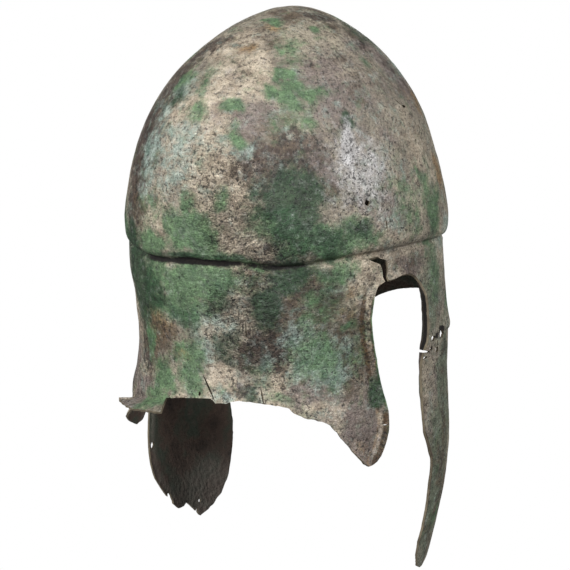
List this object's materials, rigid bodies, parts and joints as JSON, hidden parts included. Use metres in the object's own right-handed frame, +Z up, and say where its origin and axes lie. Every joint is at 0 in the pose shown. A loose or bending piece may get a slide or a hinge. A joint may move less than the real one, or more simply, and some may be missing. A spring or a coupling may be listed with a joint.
{
  "type": "chalcidian helmet",
  "caption": "Bronze helmet with a tall grooved bowl, open ears and face, a drawn-in neck guard with a torn hem, and long fixed cheekpieces with a green and brown patina.",
  "frame": {"origin": "inside of the crown, where the top of a padded head sits, on the helmet's middle line", "axes": "+Z up through the crown, -Y the way the wearer faces, +X to the wearer's left"},
  "size_m": [0.2013, 0.2294, 0.3518],
  "materials": {
    "patinated_bronze": "matt patina in brown, grey and green"
  },
  "bodies": {
    "root": {"helmet_shell": "patinated_bronze"}
  },
  "joints": []
}
